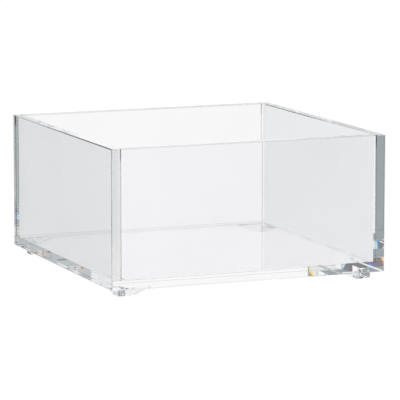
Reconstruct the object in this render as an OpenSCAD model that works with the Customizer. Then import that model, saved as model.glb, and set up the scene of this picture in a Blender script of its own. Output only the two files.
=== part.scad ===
// A clear open box of flat sheet, welded edge to edge, on four low corner feet.
// The origin is on the surface that the box stands on, under the middle of the box.
// +Z is up, the front is the wall towards -Y, and left is -X.

/* [Box] */
// Outside width, left to right
box_w = 150; // [90:1:300]
// Outside depth, front to back
box_d = 150; // [90:1:300]
// Height over all, from the flats of the feet to the rim
box_h = 75; // [40:1:200]

/* [Sheet] */
// Thickness of the four walls
wall_t = 5; // [3:0.5:10]
// Thickness of the base
base_t = 5; // [3:0.5:10]
// Radius that polishing leaves on the rim and on the outer edges
edge_r = 0.5; // [0.2:0.1:1]

/* [Feet] */
// Height of the feet, which is the gap below the base
foot_h = 3.8; // [2:0.1:5]
// Thickness of the two arms of a foot
foot_arm_t = 4.5; // [3:0.1:8]
// Length of the flat that each arm stands on, from the foot's outer corner
foot_flat = 7.5; // [5:0.5:12]
// Length of the ramp that each arm rises along, past its flat
foot_ramp = 9.5; // [8:0.5:20]
// Radius of the bends at the two ends of the ramp
foot_bend_r = 4; // [1:0.5:4.5]
// Height of the blunt end that is left at the top of the ramp
foot_tip_h = 0.4; // [0.2:0.1:1]
// Radius of the foot's outer corner, seen from above
foot_corner_r = 1; // [0.3:0.1:2]
// Radius in the angle between the two arms, seen from above
foot_angle_r = 1.5; // [0.3:0.1:3]
// Play on each side between the feet and the rim of a like box that this one is stacked on
nest_gap = 0.2; // [0.1:0.1:1]

/* [Hidden] */
$fn = 48;
clear_sheet = [0.87, 0.90, 0.92, 0.45];
clear_foot = [0.78, 0.82, 0.85, 0.55];

// Levels, from the surface up
base_top = foot_h + base_t;
wall_h = box_h - base_top;
// The hollow inside the four walls
inner_w = box_w - 2 * wall_t;
inner_d = box_d - 2 * wall_t;
// How far a cutting shape runs past the face that it cuts
over = 1;

// The ramp of an arm is an arc, a straight and an arc, each tangent to the next
ramp_rise = foot_h - foot_tip_h;
bend_drop = ramp_rise - 2 * foot_bend_r;
bend_reach = norm([foot_ramp, bend_drop]);
ramp_angle = asin(2 * foot_bend_r / bend_reach) + atan2(bend_drop, foot_ramp);
foot_len = foot_flat + foot_ramp;
foot_inset = wall_t + nest_gap;

// Flat shapes

// A rectangle round the origin with rounded corners
module round_rect(w, h, r) {
    square([w - 2 * r, h], center = true);
    square([w, h - 2 * r], center = true);
    for (x = [-1, 1], y = [-1, 1])
        translate([x * (w / 2 - r), y * (h / 2 - r)])
            circle(r);
}

// A square from the origin, rounded only at the corner that lies on the origin
module corner_square(size, r) {
    translate([r, 0])
        square([size - r, size]);
    translate([0, r])
        square([size, size - r]);
    translate([r, r])
        circle(r);
}

// Section of the hollow across a width: straight sides that turn out over the rim
module hollow_section(w) {
    translate([-w / 2, base_top])
        square([w, wall_h + over]);
    difference() {
        translate([-w / 2 - edge_r, box_h - edge_r])
            square([w + 2 * edge_r, edge_r + over]);
        for (side = [-1, 1])
            translate([side * (w / 2 + edge_r), box_h - edge_r])
                circle(edge_r);
    }
}

// Side view of an arm: its flat on the ground, then the ramp up to the blunt end
module arm_section() {
    low_bend = [foot_flat, foot_bend_r];
    high_bend = [foot_len, ramp_rise - foot_bend_r];
    to_tangent = foot_bend_r * [sin(ramp_angle), -cos(ramp_angle)];
    low_end = low_bend + to_tangent;
    high_end = high_bend - to_tangent;
    difference() {
        union() {
            polygon([
                [0, 0], [foot_flat, 0], low_end, high_end,
                [foot_len, ramp_rise], [foot_len, foot_h], [0, foot_h]
            ]);
            intersection() {
                translate(low_bend)
                    circle(foot_bend_r, $fn = 96);
                translate([foot_flat, 0])
                    square([low_end.x - foot_flat, low_end.y]);
            }
        }
        translate(high_bend)
            circle(foot_bend_r, $fn = 96);
    }
}

// Solid shapes

// The whole body as one block, with every outer edge rounded
module body_block() {
    body_h = box_h - foot_h;
    translate([0, 0, foot_h + body_h / 2])
        intersection() {
            linear_extrude(body_h, center = true)
                round_rect(box_w, box_d, edge_r);
            rotate([90, 0, 0])
                linear_extrude(box_d, center = true)
                    round_rect(box_w, body_h, edge_r);
            rotate([90, 0, 90])
                linear_extrude(box_w, center = true)
                    round_rect(box_d, body_h, edge_r);
        }
}

// The space inside the box, with a mouth that rounds the rim's inner edges
module hollow() {
    intersection() {
        rotate([90, 0, 0])
            linear_extrude(box_d, center = true)
                hollow_section(inner_w);
        rotate([90, 0, 90])
            linear_extrude(box_w, center = true)
                hollow_section(inner_d);
    }
}

// One sheet of the box: what the body and this block, given by its middle and size, share
module sheet(middle, size) {
    color(clear_sheet)
        difference() {
            intersection() {
                body_block();
                translate([middle.x, middle.y, middle.z])
                    cube(size, center = true);
            }
            hollow();
        }
}

// Sheets: the base lies under all four walls, and the side walls run the full depth

module base_panel() {
    sheet([0, 0, foot_h + base_t / 2], [box_w, box_d, base_t]);
}

module side_wall(side) {
    sheet([side * (box_w - wall_t) / 2, 0, base_top + wall_h / 2], [wall_t, box_d, wall_h]);
}

module end_wall(side) {
    sheet([0, side * (box_d - wall_t) / 2, base_top + wall_h / 2], [inner_w, wall_t, wall_h]);
}

// Feet

// A foot with its outer corner on the origin and its arms along +X and +Y
module foot_shape() {
    arm_zone = foot_arm_t + foot_angle_r;
    intersection() {
        linear_extrude(foot_h)
            difference() {
                corner_square(foot_len, foot_corner_r);
                translate([foot_arm_t, foot_arm_t])
                    corner_square(foot_len, foot_angle_r);
            }
        union() {
            translate([0, arm_zone, 0])
                rotate([90, 0, 0])
                    linear_extrude(arm_zone)
                        arm_section();
            rotate([90, 0, 90])
                linear_extrude(arm_zone)
                    arm_section();
        }
    }
}

// A foot in its corner of the base, where side and end are -1 or 1 along X and Y
module foot(side, end) {
    color(clear_foot)
        translate([side * (box_w / 2 - foot_inset), end * (box_d / 2 - foot_inset), 0])
            mirror([side > 0 ? 1 : 0, 0, 0])
                mirror([0, end > 0 ? 1 : 0, 0])
                    foot_shape();
}

base_panel();
side_wall(-1);  // left_wall
side_wall(1);  // right_wall
end_wall(-1);  // front_wall
end_wall(1);  // back_wall
foot(-1, -1);  // foot_front_left
foot(1, -1);  // foot_front_right
foot(-1, 1);  // foot_back_left
foot(1, 1);  // foot_back_right
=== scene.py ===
# %% [markdown]
# A clear open box, dressed in Blender.
# The real thing is five sheets of cast acrylic welded edge to edge, on four small welded feet.
# The solids come from the CAD model. Here they get their polished skin, their weld faces,
# a studio to stand in, and a camera at the photograph's angle. Lengths are in metres.

# %% Load the frame
import math

import bmesh
import bpy
from mathutils import Matrix, Vector
from mathutils.geometry import delaunay_2d_cdt


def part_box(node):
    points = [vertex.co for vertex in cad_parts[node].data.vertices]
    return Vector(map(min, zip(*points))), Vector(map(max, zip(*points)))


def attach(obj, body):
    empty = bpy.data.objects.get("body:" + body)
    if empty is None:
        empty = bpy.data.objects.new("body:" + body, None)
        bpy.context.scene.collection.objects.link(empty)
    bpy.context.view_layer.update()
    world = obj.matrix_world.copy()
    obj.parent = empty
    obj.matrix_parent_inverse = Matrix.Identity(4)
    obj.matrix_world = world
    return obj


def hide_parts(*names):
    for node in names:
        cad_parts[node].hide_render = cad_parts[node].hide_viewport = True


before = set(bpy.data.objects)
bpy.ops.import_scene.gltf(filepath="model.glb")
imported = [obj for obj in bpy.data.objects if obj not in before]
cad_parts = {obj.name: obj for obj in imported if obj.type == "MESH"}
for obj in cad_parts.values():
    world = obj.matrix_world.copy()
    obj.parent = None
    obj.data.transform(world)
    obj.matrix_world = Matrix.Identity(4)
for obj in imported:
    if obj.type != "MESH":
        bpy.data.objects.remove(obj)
bpy.context.view_layer.update()
MM = 0.001
print("nodes in the frame:", sorted(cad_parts))

# %% [markdown]
# Node trees are easier to read as expressions. This class wraps one output socket, so that
# a + b or 1 - mask adds a Math node. Every other node comes from one method, which takes the
# node's type, its settings and what goes into its sockets. The same class serves the shader
# trees and the geometry tree of the feet.

# %% One class for sockets


class Signal:
    """An output socket that takes part in sums."""

    def __init__(self, tree, socket):
        self.tree, self.socket = tree, socket

    @staticmethod
    def node(tree, kind, settings=None, inputs=None, output=0):
        made = tree.nodes.new(kind)
        for name, value in (settings or {}).items():
            setattr(made, name, value)
        for key, value in (inputs or {}).items():
            if isinstance(value, Signal):
                tree.links.new(value.socket, made.inputs[key])
            elif value is not None:
                made.inputs[key].default_value = value
        return Signal(tree, made.outputs[output] if made.outputs else None)

    def maths(self, operation, *values):
        inputs = dict(enumerate((self, *values)))
        return Signal.node(self.tree, "ShaderNodeMath", {"operation": operation}, inputs)

    def other(self, output):
        return Signal(self.tree, self.socket.node.outputs[output])

    def __add__(self, other):
        return self.maths("ADD", other)

    __radd__ = __add__

    def __mul__(self, other):
        return self.maths("MULTIPLY", other)

    __rmul__ = __mul__

    def __sub__(self, other):
        return self.maths("SUBTRACT", other)

    def __rsub__(self, other):
        return (self * -1.0) + other

    def __truediv__(self, other):
        return self.maths("DIVIDE", other)

    def limit(self, low, high):
        return self.maths("MAXIMUM", low).maths("MINIMUM", high)


def smooth_step(signal, low, high):
    """0 below low, 1 above high, and a smooth rise between them."""
    settings = {"interpolation_type": "SMOOTHSTEP"}
    inputs = {"Value": signal, "From Min": low, "From Max": high}
    return Signal.node(signal.tree, "ShaderNodeMapRange", settings, inputs)


# %% [markdown]
# Clear acrylic bends light by 1.49 and has a polish so good that only dust, wipe marks and
# hairline scratches show. Those are the finish: the roughness is nearly nothing, with faint
# smears on a large noise and scratches on a stretched one. A trace of cool tint stands for
# the colour that a thick edge gathers. A lamp's shadow rays pass through, as light really does.

# %% The clear acrylic
ACRYLIC_IOR = 1.49
WIPE_SCALE, HAIR_SCALE, WAVE_SCALE = 22.0, 160.0, 35.0
HAIR_STRETCH = (1.0, 14.0, 1.0)
WAVE_HEIGHT = 0.02 * MM
print("index %.2f, waves %.3f mm high" % (ACRYLIC_IOR, WAVE_HEIGHT / MM))


def clear_material(name, tint_and_shade, smear, seed, haze=0.0, clearness=1.0):
    """Polished clear acrylic with faint wipe marks, scratches and a slow waviness. On the edges
    and the rim the tint is painted shade.
    """
    made = bpy.data.materials.new(name)
    made.use_nodes = True
    tree = made.node_tree
    tree.nodes.clear()
    where = Signal.node(tree, "ShaderNodeTexCoord", output="Object")
    place = Signal.node(tree, "ShaderNodeMapping", inputs={
        "Vector": where, "Location": (seed, 0.3 * seed, -seed)})
    streaks = Signal.node(tree, "ShaderNodeMapping", inputs={
        "Vector": place, "Rotation": (0.2, 0.35, 0.6), "Scale": HAIR_STRETCH})
    wipes = Signal.node(tree, "ShaderNodeTexNoise", inputs={
        "Vector": place, "Scale": WIPE_SCALE, "Detail": 3.0})
    hairs = Signal.node(tree, "ShaderNodeTexNoise", inputs={
        "Vector": streaks, "Scale": HAIR_SCALE, "Detail": 4.0})
    worn = smooth_step(wipes, 0.58, 0.78) * 0.5 + smooth_step(hairs, 0.70, 0.78) * 0.5
    wiped = [0.4 * t + 0.6 * min(1.0, t + 0.03) for t in tint_and_shade]
    colour = Signal.node(tree, "ShaderNodeMix", {"data_type": "RGBA"}, {
        0: smooth_step(wipes, 0.3, 0.7), 6: (*tint_and_shade, 1), 7: (*wiped, 1)}, output=2)
    waves = Signal.node(tree, "ShaderNodeTexNoise", inputs={
        "Vector": place, "Scale": WAVE_SCALE, "Detail": 1.0})
    skin = Signal.node(tree, "ShaderNodeBump", inputs={
        "Height": waves, "Strength": 0.05, "Distance": WAVE_HEIGHT})
    body = Signal.node(tree, "ShaderNodeBsdfPrincipled", inputs={
        "Base Color": colour, "Roughness": worn * smear + haze, "Normal": skin,
        "IOR": ACRYLIC_IOR, "Transmission Weight": clearness})
    light = Signal.node(tree, "ShaderNodeLightPath", output="Is Shadow Ray")
    clear = Signal.node(tree, "ShaderNodeBsdfTransparent", inputs={
        "Color": (0.93, 0.94, 0.94, 1)})
    mixed = Signal.node(tree, "ShaderNodeMixShader", inputs={0: light, 1: body, 2: clear})
    Signal.node(tree, "ShaderNodeOutputMaterial", inputs={"Surface": mixed})
    return made


# %% [markdown]
# A weld is cement that has melted two sheets into one. Light goes straight on through it, so
# its surface is plain transparent. Two faces of the clear shader in one place there would
# bend the light twice and look like a gap. A little haze is left in the weld. It is stronger
# close to the front and back skins, most of all near the rim. How strong is a guess, set so
# that the corner lines have about the tone that they have in the photograph.

# %% The weld
SKIN_FROM, SKIN_TO = 73.2 * MM, 74.2 * MM
RIM_FROM, RIM_TO = 67 * MM, 72 * MM
CEMENT_SCALE = 90.0
print("weld haze starts %.1f mm from the middle plane" % (SKIN_FROM / MM))


def weld_material():
    """Where two sheets are one: nothing bends the light, and the cement leaves a faint haze."""
    made = bpy.data.materials.new("weld_seam")
    made.use_nodes = True
    tree = made.node_tree
    tree.nodes.clear()
    where = Signal.node(tree, "ShaderNodeTexCoord", output="Object")
    cement = Signal.node(tree, "ShaderNodeTexNoise", inputs={
        "Vector": where, "Scale": CEMENT_SCALE, "Detail": 2.0})
    place = Signal.node(tree, "ShaderNodeSeparateXYZ", inputs={0: where})
    skin = smooth_step(place.other(1).maths("ABSOLUTE"), SKIN_FROM, SKIN_TO)
    top = smooth_step(place.other(2), RIM_FROM, RIM_TO)
    haze = smooth_step(cement, 0.52, 0.80) * 0.05 + 0.02 + skin * (top * 0.50 + 0.42)
    through = Signal.node(tree, "ShaderNodeBsdfTransparent", inputs={"Color": (1, 1, 1, 1)})
    milk = Signal.node(tree, "ShaderNodeBsdfTranslucent", inputs={
        "Color": (0.24, 0.26, 0.28, 1)})
    mixed = Signal.node(tree, "ShaderNodeMixShader", inputs={0: haze, 1: through, 2: milk})
    Signal.node(tree, "ShaderNodeOutputMaterial", inputs={"Surface": mixed})
    return made


# %% [markdown]
# One recipe serves five materials. The sheets are nearly colourless, and the feet a shade deeper.
# The other three are set to lines in the photograph. Its edges draw themselves in grey, one rim
# draws the darkest line, and the narrow end of one wall is pale. On the real box much of that is
# the studio, bent by the edge. Here the grey tint on the roundings and the near-black tint on that
# rim are painted shade, and a matte, partly white end gives the pale strip. The end's last two
# numbers are its roughness, and how much of it is clear.

# %% The finishes and the painted shade
sheet_look = clear_material("polished_sheet", (0.958, 0.956, 0.964), 0.010, 0.0)
foot_look = clear_material("polished_foot", (0.86, 0.87, 0.88), 0.010, 0.4)
end_look = clear_material("matte_end", (0.990, 0.990, 0.995), 0.004, 0.8, 0.60, 0.55)
# The grey tint on every rounding is painted shade.
edge_shade_look = clear_material("painted_shade_edge", (0.70, 0.71, 0.73), 0.006, 1.2)
# The near-black tint on the left wall's upper outer rounding and on the top of the bead is painted
# shade.
rim_shade_look = clear_material("painted_shade_rim", (0.16, 0.17, 0.19), 0.006, 1.6)
weld_look = weld_material()
print("materials:", [m.name for m in bpy.data.materials])

# %% [markdown]
# The feet are L-shaped blocks, moulded and welded under the corners. Each arm stands on a
# flat and then rises in an arc, a straight and an arc. The foot repeats four times and its
# shape follows a rule, so Geometry Nodes make it: a grid of stations and five columns is
# wrapped round the L, its underside lifted by the rule, and the result put in each corner.

# %% Sizes of the feet
corner_low, corner_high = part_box("foot_front_left")
FOOT_LENGTH = corner_high.x - corner_low.x
FOOT_HEIGHT = corner_high.z
FOOT_FLAT = 7.5 * MM
BEND_RADIUS = 4 * MM
TIP_HEIGHT = 0.4 * MM
ARM_THICKNESS = 4.5 * MM
CORNER_RADIUS = 1 * MM
ANGLE_RADIUS = 1.5 * MM
ramp_rise = FOOT_HEIGHT - TIP_HEIGHT
ramp_run = FOOT_LENGTH - FOOT_FLAT
bend_drop = ramp_rise - 2 * BEND_RADIUS
RAMP_ANGLE = (math.asin(2 * BEND_RADIUS / math.hypot(ramp_run, bend_drop))
              + math.atan2(bend_drop, ramp_run))
print("foot length %.1f mm, ramp %.1f degrees" % (
    FOOT_LENGTH / MM, math.degrees(RAMP_ANGLE)))

# %% [markdown]
# Stations count outwards from the corner along both arms: first the rounded corner, then the
# low bend, then the high bend. A test per station picks the formula, and adding the picked
# ones up gives each point of the grid its place.

# %% The foot as a rule in Geometry Nodes
CORNER_ROWS, BEND_ROWS, COLUMNS = 5, 7, 5
HALF_ROWS = CORNER_ROWS + 2 * BEND_ROWS
TURN_TO_CORNER = math.radians(135)
print("stations round one foot:", 2 * HALF_ROWS + 1)


def foot_tree():
    """The tree that makes one L-shaped foot and sets it in the four corners."""
    tree = bpy.data.node_groups.new("welded_feet", "GeometryNodeTree")
    tree.interface.new_socket("Geometry", in_out="OUTPUT", socket_type="NodeSocketGeometry")
    for name in ("Length", "Height", "Flat", "Bend Radius", "Tip Height", "Arm",
                 "Corner Radius", "Angle Radius", "Ramp Angle", "Stand X", "Stand Y"):
        tree.interface.new_socket(name, in_out="INPUT", socket_type="NodeSocketFloat")
    entry = tree.nodes.new("NodeGroupInput")
    given = {s.name: Signal(tree, s) for s in entry.outputs if s.name}

    def add(kind, settings=None, inputs=None, output=0):
        return Signal.node(tree, kind, settings, inputs, output)

    def pick(test, no, yes):
        return test * yes + (1.0 - test) * no

    index = add("GeometryNodeInputIndex")
    row = (index / float(COLUMNS) + 0.001).maths("FLOOR")
    column = index - row * float(COLUMNS)
    across = row - float(HALF_ROWS)
    step = across.maths("ABSOLUTE")
    is_corner = step.maths("LESS_THAN", CORNER_ROWS - 0.5)
    is_high = step.maths("GREATER_THAN", CORNER_ROWS + BEND_ROWS - 0.5)
    is_cap = step.maths("GREATER_THAN", HALF_ROWS - 0.5)
    turn = (1.0 - step / float(CORNER_ROWS - 1)).limit(0.0, 1.0) * math.radians(45)
    low_turn = ((step - float(CORNER_ROWS)) / float(BEND_ROWS - 1)).limit(0.0, 1.0)
    high_turn = ((step - float(CORNER_ROWS + BEND_ROWS)) / float(BEND_ROWS - 1)).limit(0.0, 1.0)
    angle = pick(is_high, low_turn, 1.0 - high_turn) * given["Ramp Angle"]
    bend = given["Bend Radius"]
    rise = given["Height"] - given["Tip Height"]
    along = pick(is_high, given["Flat"] + bend * angle.maths("SINE"),
                 given["Length"] - bend * angle.maths("SINE"))
    under = pick(is_high, bend - bend * angle.maths("COSINE"),
                 rise - bend + bend * angle.maths("COSINE"))
    under = pick(is_corner, under, 0.0)

    inside = (column - 1.5).maths("ABSOLUTE").maths("LESS_THAN", 0.75)
    above = (column - 2.5).maths("ABSOLUTE").maths("LESS_THAN", 0.75)
    radius = pick(inside, given["Corner Radius"], given["Angle Radius"])
    centre = pick(inside, given["Corner Radius"], given["Arm"] + given["Angle Radius"])
    x = pick(is_corner, along, centre - radius * turn.maths("SINE"))
    y = pick(is_corner, inside * given["Arm"], centre - radius * turn.maths("COSINE"))
    z = pick(above, under, given["Height"])
    y = pick(is_cap, y, given["Arm"] * 0.5)
    z = pick(is_cap, z, (rise + given["Height"]) * 0.5)
    other_arm = across.maths("LESS_THAN", -0.5)
    at = add("ShaderNodeCombineXYZ", inputs={
        0: pick(other_arm, x, y), 1: pick(other_arm, y, x), 2: z})

    grid = add("GeometryNodeMeshGrid", inputs={
        "Vertices X": 2 * HALF_ROWS + 1, "Vertices Y": COLUMNS})
    placed = add("GeometryNodeSetPosition", inputs={"Geometry": grid, "Position": at})
    closed = add("GeometryNodeMergeByDistance", inputs={"Geometry": placed, "Distance": 1e-6})

    stands = add("GeometryNodeMeshGrid", inputs={
        "Vertices X": 2, "Vertices Y": 2,
        "Size X": given["Stand X"] * 2.0, "Size Y": given["Stand Y"] * 2.0})
    spot = add("ShaderNodeSeparateXYZ", inputs={0: add("GeometryNodeInputPosition")})
    facing = spot.other(1).maths("ARCTAN2", spot.other(0)) + TURN_TO_CORNER
    turned = add("ShaderNodeCombineXYZ", inputs={2: facing})
    feet = add("GeometryNodeInstanceOnPoints", inputs={
        "Points": stands, "Instance": closed, "Rotation": turned})
    real = add("GeometryNodeRealizeInstances", inputs={"Geometry": feet})
    dressed = add("GeometryNodeSetMaterial", inputs={"Geometry": real, "Material": foot_look})
    up = add("ShaderNodeSeparateXYZ", inputs={0: add("GeometryNodeInputNormal")}, output=2)
    place = add("GeometryNodeInputPosition")
    level = add("ShaderNodeSeparateXYZ", inputs={0: place}, output=2)
    is_weld = (level - given["Height"] + 1e-5).maths("GREATER_THAN", 0.0)
    flat = up.maths("ABSOLUTE").maths("GREATER_THAN", 0.9)
    welded = add("GeometryNodeSetMaterial", inputs={
        "Geometry": dressed, "Selection": is_weld * flat, "Material": weld_look})
    leave = tree.nodes.new("NodeGroupOutput")
    tree.links.new(welded.socket, leave.inputs[0])
    return tree


def plain_mesh(owner, name):
    """The evaluated object as a plain mesh object, and the one it came from removed."""
    seen = owner.evaluated_get(bpy.context.evaluated_depsgraph_get())
    mesh = bpy.data.meshes.new_from_object(seen)
    bpy.data.objects.remove(owner)
    mesh.name = name
    made = bpy.data.objects.new(name, mesh)
    bpy.context.scene.collection.objects.link(made)
    return made


# %% [markdown]
# The rule runs once on an empty mesh, and its result is kept as a plain mesh, so that the
# weld outlines can be read from it. The small faces are the bends and the rounded corners,
# and only they are smooth.

# %% Make the feet
start = bpy.data.objects.new("feet_start", bpy.data.meshes.new("feet_start"))
bpy.context.scene.collection.objects.link(start)
rule = start.modifiers.new("feet", "NODES")
rule.node_group = foot_tree()
foot_sizes = {
    "Length": FOOT_LENGTH, "Height": FOOT_HEIGHT, "Flat": FOOT_FLAT,
    "Bend Radius": BEND_RADIUS, "Tip Height": TIP_HEIGHT, "Arm": ARM_THICKNESS,
    "Corner Radius": CORNER_RADIUS, "Angle Radius": ANGLE_RADIUS,
    "Ramp Angle": RAMP_ANGLE, "Stand X": -corner_low.x, "Stand Y": -corner_low.y}
for socket in rule.node_group.interface.items_tree:
    if socket.in_out == "INPUT":
        rule[socket.identifier] = foot_sizes[socket.name]
feet = plain_mesh(start, "welded_feet")

BEND_FACE = 1.5 * MM * MM
FEET = ["foot_front_left", "foot_front_right", "foot_back_left", "foot_back_right"]
work = bmesh.new()
work.from_mesh(feet.data)
bmesh.ops.recalc_face_normals(work, faces=work.faces)
for face in work.faces:
    face.smooth = abs(face.normal.z) < 0.999 and face.calc_area() < BEND_FACE
print("feet: %d faces, %.2f cm3, open edges %d" % (
    len(work.faces), work.calc_volume() * 1e6,
    sum(len(e.link_faces) != 2 for e in work.edges)))
work.to_mesh(feet.data)
work.free()

# %% [markdown]
# The sheets have the right shape in the CAD model, down to the half-millimetre roundings
# that polishing leaves. What the solids lack is the weld: where two sheets touch, the cement
# has made them one, and light passes without bending. So each sheet is a copy of its solid,
# merged, with the outline of what touches it cut into its face, and the faces inside that
# outline get the weld material. Booleans would do it too, but cutting outlines in a flat
# face keeps every other point where it was.

# %% Outlines on a plane
CLOSE = 2e-6
SKIN, WELD, EDGE, MATTE, DARK = range(5)
print("two points are one if closer than %.3f mm" % (CLOSE / MM))


def on_plane(work, axis, level, facing):
    """The flat faces that lie on this plane and face this way."""
    return [f for f in work.faces if f.normal[axis] * facing > 0.999
            and all(abs(v.co[axis] - level) < CLOSE for v in f.verts)]


def outlines(faces):
    """The closed borders of a patch of faces, as lists of points in order."""
    patch, following = set(faces), {}
    for face in faces:
        for loop in face.loops:
            if not any(f in patch and f != face for f in loop.edge.link_faces):
                following[loop.vert] = loop.link_loop_next.vert
    borders = []
    while following:
        vert, after = following.popitem()
        border = [vert]
        while after in following:
            border.append(after)
            after = following.pop(after)
        borders.append(border)
    return borders


def split_border(work, patch, point):
    """Puts a point that lies on the patch's border into the border's edge."""
    inside = set(patch)
    for edge in {e for f in patch for e in f.edges if not all(x in inside for x in e.link_faces)}:
        first, second = edge.verts
        along = second.co - first.co
        share = (point - first.co).dot(along) / along.length_squared
        if 0 < share < 1 and (first.co + share * along - point).length < CLOSE:
            if min((v.co - point).length for v in edge.verts) > CLOSE:
                bmesh.utils.edge_split(edge, first, share)[1].co = point
            return


def turn_left(ring, points):
    """The ring counted anticlockwise, as the triangulation wants it."""
    area = sum(points[ring[i - 1]][0] * points[ring[i]][1]
               - points[ring[i]][0] * points[ring[i - 1]][1] for i in range(len(ring)))
    return ring if area > 0 else ring[::-1]


def imprint(work, axis, level, facing, touching):
    """Cuts outlines into one flat side of a sheet, and gives the faces inside them the weld."""
    old = on_plane(work, axis, level, facing)
    for point in (p for ring in touching for p in ring):
        split_border(work, old, point)
    rims = outlines(old)
    u, v = [a for a in range(3) if a != axis]
    points, owners, rings = [], [], []
    for border in rims + touching:
        rings.append(list(range(len(points), len(points) + len(border))))
        for item in border:
            place = item.co if isinstance(item, bmesh.types.BMVert) else item
            points.append((place[u], place[v]))
            owners.append(item if isinstance(item, bmesh.types.BMVert) else None)
    rings = [turn_left(ring, points) for ring in rings]
    edges = [(ring[i - 1], ring[i]) for ring in rings for i in range(len(ring))]
    bmesh.ops.delete(work, geom=old, context="FACES_ONLY")
    flat, _, triangles, came_from, _, ring_of = delaunay_2d_cdt(
        [Vector(p) for p in points], edges, rings, 1, CLOSE)
    corners = []
    for place, sources in zip(flat, came_from):
        own = [owners[s] for s in sources if owners[s] is not None]
        if own:
            corners.append(own[0])
            continue
        spot = [0.0, 0.0, 0.0]
        spot[u], spot[v], spot[axis] = place.x, place.y, level
        corners.append(work.verts.new(spot))
    for triangle, inside in zip(triangles, ring_of):
        face = work.faces.new([corners[c] for c in triangle])
        face.normal_update()
        if face.normal[axis] * facing < 0:
            face.normal_flip()
        face.material_index = WELD if any(r >= len(rims) for r in inside) else SKIN
    loose = [edge for edge in work.edges if not edge.link_faces]
    bmesh.ops.delete(work, geom=loose, context="EDGES")


def solid_copy(name):
    """A merged copy of a node's mesh to work on."""
    work = bmesh.new()
    work.from_mesh(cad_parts[name].data)
    bmesh.ops.remove_doubles(work, verts=work.verts, dist=CLOSE / 10)
    for face in work.faces:
        face.material_index = SKIN
        face.smooth = max(abs(n) for n in face.normal) < 0.999
    return work


def borders_of(work, axis, level, facing):
    """A neighbour's outlines on this plane, as points."""
    return [[v.co.copy() for v in border]
            for border in outlines(on_plane(work, axis, level, facing))]


# %% [markdown]
# The base gets the outlines of four walls above and four feet below. The side walls get the
# ends of the front and back walls. What meets them is weld over its whole face.

# %% Cut the welds into the sheets
SHEETS = ["base_panel", "left_wall", "right_wall", "front_wall", "back_wall"]
sheets = {name: solid_copy(name) for name in SHEETS}
base_low, base_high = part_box("base_panel")
inner_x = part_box("front_wall")[1].x
foot_mesh = bmesh.new()
foot_mesh.from_mesh(feet.data)

walls = [name for name in SHEETS if name != "base_panel"]
wall_feet = [ring for name in walls for ring in borders_of(sheets[name], 2, base_high.z, -1)]
foot_tops = borders_of(foot_mesh, 2, base_low.z, 1)
end_rings = {side: [ring for name in ("front_wall", "back_wall")
                    for ring in borders_of(sheets[name], 0, side * inner_x, side)]
             for side in (-1, 1)}
imprint(sheets["base_panel"], 2, base_high.z, 1, wall_feet)
imprint(sheets["base_panel"], 2, base_low.z, -1, foot_tops)
for side, name in ((-1, "left_wall"), (1, "right_wall")):
    imprint(sheets[name], 0, side * inner_x, -side, end_rings[side])
for name in walls:
    for face in on_plane(sheets[name], 2, base_high.z, -1):
        face.material_index = WELD
for name in ("front_wall", "back_wall"):
    for side in (-1, 1):
        for face in on_plane(sheets[name], 0, side * inner_x, side):
            face.material_index = WELD
foot_mesh.free()

print("welds cut in", ", ".join(SHEETS))

# %% [markdown]
# In the photograph the front end of the left wall is a pale strip, and a thin line runs down its
# inner side, dark for the first few millimetres. The line is taken for a bead of cement squeezed
# out of the weld, which is a guess, and its grey and dark tones are painted shade. Two plane cuts
# through that wall give the bead its own flat faces. The bead and the roundings get the grey tint,
# painted shade, and the bead's top few millimetres and this wall's upper outer rounding the
# near-black one.

# %% Edges in painted shade, the matte end and the bead
BEAD_WIDTH = 0.6 * MM
BEAD_DARK_FROM = 69.5 * MM
RIM_LOW, RIM_OUT = 74.4 * MM, -74.4 * MM
left = sheets["left_wall"]
for point, across in (((-inner_x - BEAD_WIDTH, 0, 0), (1, 0, 0)),
                      ((0, 0, BEAD_DARK_FROM), (0, 0, 1))):
    bmesh.ops.bisect_plane(left, geom=left.verts[:] + left.edges[:] + left.faces[:],
                           plane_co=point, plane_no=across)
# The bead's faces get painted shade: grey, and near-black above BEAD_DARK_FROM. The rest of the
# end is the matte end.
for face in left.faces:
    if face.normal.y < -0.999 and face.material_index == SKIN:
        middle = face.calc_center_median()
        if middle.x <= -inner_x - BEAD_WIDTH:
            face.material_index = MATTE
        else:
            face.material_index = DARK if middle.z > BEAD_DARK_FROM else EDGE
# Every rounding gets the grey tint, painted shade.
for work in sheets.values():
    for face in work.faces:
        if face.smooth and face.material_index == SKIN:
            face.material_index = EDGE
# The left wall's upper outer rounding gets the near-black tint, painted shade.
for face in left.faces:
    middle = face.calc_center_median()
    if face.material_index == EDGE and middle.z > RIM_LOW and middle.x < RIM_OUT:
        face.material_index = DARK
print("bead %.1f mm wide, edges on %d faces" % (BEAD_WIDTH / MM, sum(
    f.material_index == EDGE for work in sheets.values() for f in work.faces)))

# %% [markdown]
# Each sheet takes the place of its solid and rides on the one body, as do the feet.

# %% Turn the sheets into pieces
for name in SHEETS:
    work = sheets[name]
    open_edges = sum(len(e.link_faces) != 2 for e in work.edges)
    weld_area = sum(f.calc_area() for f in work.faces if f.material_index == WELD)
    print("%s: %d faces, %d open edges, %.1f cm3, weld %.1f cm2" % (
        name, len(work.faces), open_edges, work.calc_volume() * 1e6, weld_area * 1e4))
    mesh = bpy.data.meshes.new("clear_" + name)
    work.to_mesh(mesh)
    work.free()
    looks = [sheet_look, weld_look, edge_shade_look, end_look, rim_shade_look]
    for look in looks if name == "left_wall" else looks[:MATTE]:
        mesh.materials.append(look)
    piece = bpy.data.objects.new("clear_" + name, mesh)
    bpy.context.scene.collection.objects.link(piece)
    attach(piece, "root")
    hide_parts(name)

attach(feet, "root")
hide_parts(*FEET)
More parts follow.
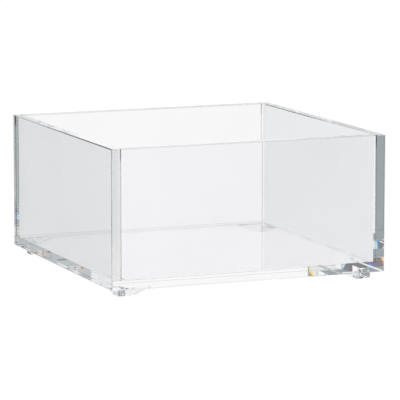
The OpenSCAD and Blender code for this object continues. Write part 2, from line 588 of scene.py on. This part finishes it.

# %% [markdown]
# The studio. A clear thing has no colour of its own: it shows what is round it. A product
# photographer lights it in a bright field, with white behind and a darker room to the sides, so
# that the sheets stay clear and the edges draw themselves in grey. Rays that only pass through the
# sheets see white here. Rays that were reflected on the way see the room: white beyond the box,
# cool grey to the sides, a lighter grey in front and bright above. The room faces along the
# heading of the photograph's camera, stays put when the camera moves, and its tones were set for
# this one view, so it is a stage set for one picture more than a model of a studio.
#
# A real thick edge also splits light into colours. The shader bends all colours alike, so the
# glints here are painted: rays reflected more than three times that leave a little upward see
# a fine noise pattern, slightly shifted for red, green and blue.

# %% The room
VIEW_AXIS = (0.3814, 0.9244)
WHITE_EDGE = (0.822, 0.825, 0.829)
DARK_SIDE = (0.33, 0.375, 0.39)
FRONT_TONE = 0.34
GLINT_SCALE = 210.0
GLINT_EDGE = (0.44, 0.48)
GLINT_LOW, GLINT_RISE = 0.22, 0.62
OVERHEAD_TONE = 0.8
EDGE_SOFTNESS = 0.012
AMBIENT = 0.7
SPLIT = 0.0004
TRAPPED_AFTER = 3.5


def room_colour(tree, direction):
    """What a reflected ray sees in this direction, as a colour."""
    parts = Signal.node(tree, "ShaderNodeSeparateXYZ", inputs={0: direction})
    x, y, z = parts, parts.other(1), parts.other(2)
    flat = (x * x + y * y + 1e-6).maths("SQRT")
    ahead = (x * VIEW_AXIS[0] + y * VIEW_AXIS[1]) / flat
    near_side = smooth_step(y / flat * -1.0, -0.10, 0.20)
    up = smooth_step(z, 0.45, 0.75)
    path = Signal.node(tree, "ShaderNodeLightPath")
    trapped = path.other("Glossy Depth").maths("GREATER_THAN", TRAPPED_AFTER)
    upward = trapped * smooth_step(z, 0.02, 0.05) * (1.0 - smooth_step(z, 0.40, 0.50))
    channels = []
    for shift, edge, dark in zip((-1, 0, 1), WHITE_EDGE, DARK_SIDE):
        moved = Signal.node(tree, "ShaderNodeMapping", inputs={
            "Vector": direction, "Location": (shift * SPLIT, 0, 0.5 * shift * SPLIT),
            "Scale": (1.0, 1.0, 0.6)})
        glints = Signal.node(tree, "ShaderNodeTexNoise", inputs={
            "Vector": moved, "Scale": GLINT_SCALE, "Detail": 0.0})
        window = smooth_step(glints, *GLINT_EDGE)
        dark = upward * (window * GLINT_RISE + GLINT_LOW) + (1.0 - upward) * dark
        bright = smooth_step(ahead, edge, edge + EDGE_SOFTNESS)
        both = bright.maths("MAXIMUM", up * OVERHEAD_TONE).maths("MAXIMUM", near_side * FRONT_TONE)
        channels.append(both * (1.0 - dark) + dark)
    return Signal.node(tree, "ShaderNodeCombineColor", inputs=dict(enumerate(channels)))


def reflected(tree):
    """1 for a ray that was reflected at least once on its way, 0 for any other."""
    path = Signal.node(tree, "ShaderNodeLightPath")
    return path.other("Glossy Depth").maths("GREATER_THAN", 0.5)


def seen_colour(tree, direction):
    """White to the camera and through the sheets, the room to what was reflected."""
    return Signal.node(tree, "ShaderNodeMix", {"data_type": "RGBA"}, {
        0: reflected(tree), 6: (1, 1, 1, 1), 7: room_colour(tree, direction)}, output=2)


def seen_ray(tree):
    """1 for a camera, glossy or transmission ray, which shows a picture of the studio."""
    path = Signal.node(tree, "ShaderNodeLightPath")
    found = path.other("Is Camera Ray").maths("MAXIMUM", path.other("Is Glossy Ray"))
    return found.maths("MAXIMUM", path.other("Is Transmission Ray"))


world = bpy.data.worlds.new("studio")
bpy.context.scene.world = world
world.use_nodes = True
sky = world.node_tree
sky.nodes.clear()
outward = Signal.node(sky, "ShaderNodeTexCoord", output="Generated")
picture = Signal.node(sky, "ShaderNodeBackground", inputs={
    "Color": seen_colour(sky, outward), "Strength": 1.0})
ambient = Signal.node(sky, "ShaderNodeBackground", inputs={
    "Color": (1, 1, 1, 1), "Strength": AMBIENT})
both = Signal.node(sky, "ShaderNodeMixShader", inputs={0: seen_ray(sky), 1: ambient, 2: picture})
Signal.node(sky, "ShaderNodeOutputWorld", inputs={"Surface": both})
print("world: %d nodes, ambient %.1f" % (len(sky.nodes), AMBIENT))

# %% [markdown]
# The floor is white paper that glows to the camera, with a share of plain diffuse so that the
# box still shades it. Reflected and refracted rays skip it and see the world instead, because
# the room on a flat floor put a false diagonal on the right wall. It is seen from above only,
# so a camera below it can look at the underside of the box.

# %% The floor
FLOOR_HALF = 30.0
FLOOR_GLOW, PAPER_TONE, PLAIN_TONE = 0.90, 0.12, 0.8
floor_mesh = bpy.data.meshes.new("floor")
floor_mesh.from_pydata(
    [(x * FLOOR_HALF, y * FLOOR_HALF, 0) for x, y in ((-1, -1), (1, -1), (1, 1), (-1, 1))],
    [], [(0, 1, 2, 3)])
floor = bpy.data.objects.new("floor", floor_mesh)
bpy.context.scene.collection.objects.link(floor)
floor.visible_glossy = floor.visible_transmission = False
floor_look = bpy.data.materials.new("pale_floor")
floor_look.use_nodes = True
ground = floor_look.node_tree
ground.nodes.clear()
glow = Signal.node(ground, "ShaderNodeEmission", inputs={
    "Color": (1, 1, 1, 1), "Strength": FLOOR_GLOW})
paper = Signal.node(ground, "ShaderNodeBsdfDiffuse", inputs={
    "Color": (PAPER_TONE, PAPER_TONE, PAPER_TONE, 1)})
lit = Signal.node(ground, "ShaderNodeAddShader", inputs={0: glow, 1: paper})
plain = Signal.node(ground, "ShaderNodeBsdfDiffuse", inputs={
    "Color": (PLAIN_TONE, PLAIN_TONE, PLAIN_TONE, 1)})
shown = Signal.node(ground, "ShaderNodeMixShader", inputs={
    0: seen_ray(ground), 1: plain, 2: lit})
below = Signal.node(ground, "ShaderNodeNewGeometry", output="Backfacing")
gone = Signal.node(ground, "ShaderNodeBsdfTransparent", inputs={"Color": (1, 1, 1, 1)})
one_sided = Signal.node(ground, "ShaderNodeMixShader", inputs={0: below, 1: shown, 2: gone})
Signal.node(ground, "ShaderNodeOutputMaterial", inputs={"Surface": one_sided})
floor_mesh.materials.append(floor_look)
print("floor %.0f m across" % (2 * FLOOR_HALF))

# %% [markdown]
# One very soft lamp overhead gives the floor its faint shade and the haze a little light.

# %% A soft lamp overhead
lamp = bpy.data.lights.new("overhead", "SUN")
LAMP_STRENGTH = 1.0
LAMP_WIDTH, LAMP_TILT, LAMP_LEAN = 40, 18, -14
lamp.energy = LAMP_STRENGTH
lamp.angle = math.radians(LAMP_WIDTH)
overhead = bpy.data.objects.new("overhead", lamp)
overhead.rotation_euler = (math.radians(LAMP_TILT), math.radians(LAMP_LEAN), 0)
bpy.context.scene.collection.objects.link(overhead)
print("lamp %.1f, %.0f degrees wide" % (lamp.energy, math.degrees(lamp.angle)))

# %% [markdown]
# The camera stands where the fit of the photograph's corners puts it, about 1.6 m away with
# a long lens, so that the box's verticals stay almost upright.

# %% Camera
PICTURE = 400
FOCAL_PIXELS = 2975.5
CAMERA_AT = (-0.58896, -1.43506, 0.27361)
CAMERA_RIGHT = (0.924463, -0.381271, 0.000837)
CAMERA_AHEAD = (0.376949, 0.913647, -0.152181)
camera_data = bpy.data.cameras.new("camera")
camera_data.sensor_width = 36
camera_data.lens = FOCAL_PIXELS * camera_data.sensor_width / PICTURE
camera_data.clip_end = 200
camera = bpy.data.objects.new("camera", camera_data)
right = Vector(CAMERA_RIGHT).normalized()
ahead = Vector(CAMERA_AHEAD).normalized()
right = (right - right.dot(ahead) * ahead).normalized()
turn = Matrix((right, right.cross(ahead), -ahead)).transposed().to_4x4()
camera.matrix_world = Matrix.Translation(CAMERA_AT) @ turn
bpy.context.scene.collection.objects.link(camera)
bpy.context.scene.camera = camera
print("lens %.1f mm" % camera_data.lens)

# %% [markdown]
# Light that is caught in a sheet is thrown from side to side thirty times or more before it
# leaves by an edge. Each throw is a bounce, so the limits go up, or the edges turn black.
# The view transform is the plain one, so a tone renders about as it is written.

# %% Bounces and view
BOUNCES = 96
cycles = bpy.context.scene.cycles
for limit in ("max_bounces", "transmission_bounces", "glossy_bounces",
              "transparent_max_bounces"):
    setattr(cycles, limit, BOUNCES)
print("bounces:", cycles.max_bounces)
bpy.context.scene.view_settings.view_transform = "Standard"

# %% [markdown]
# The view layer is brought up to date.

# %% Finish
bpy.context.view_layer.update()
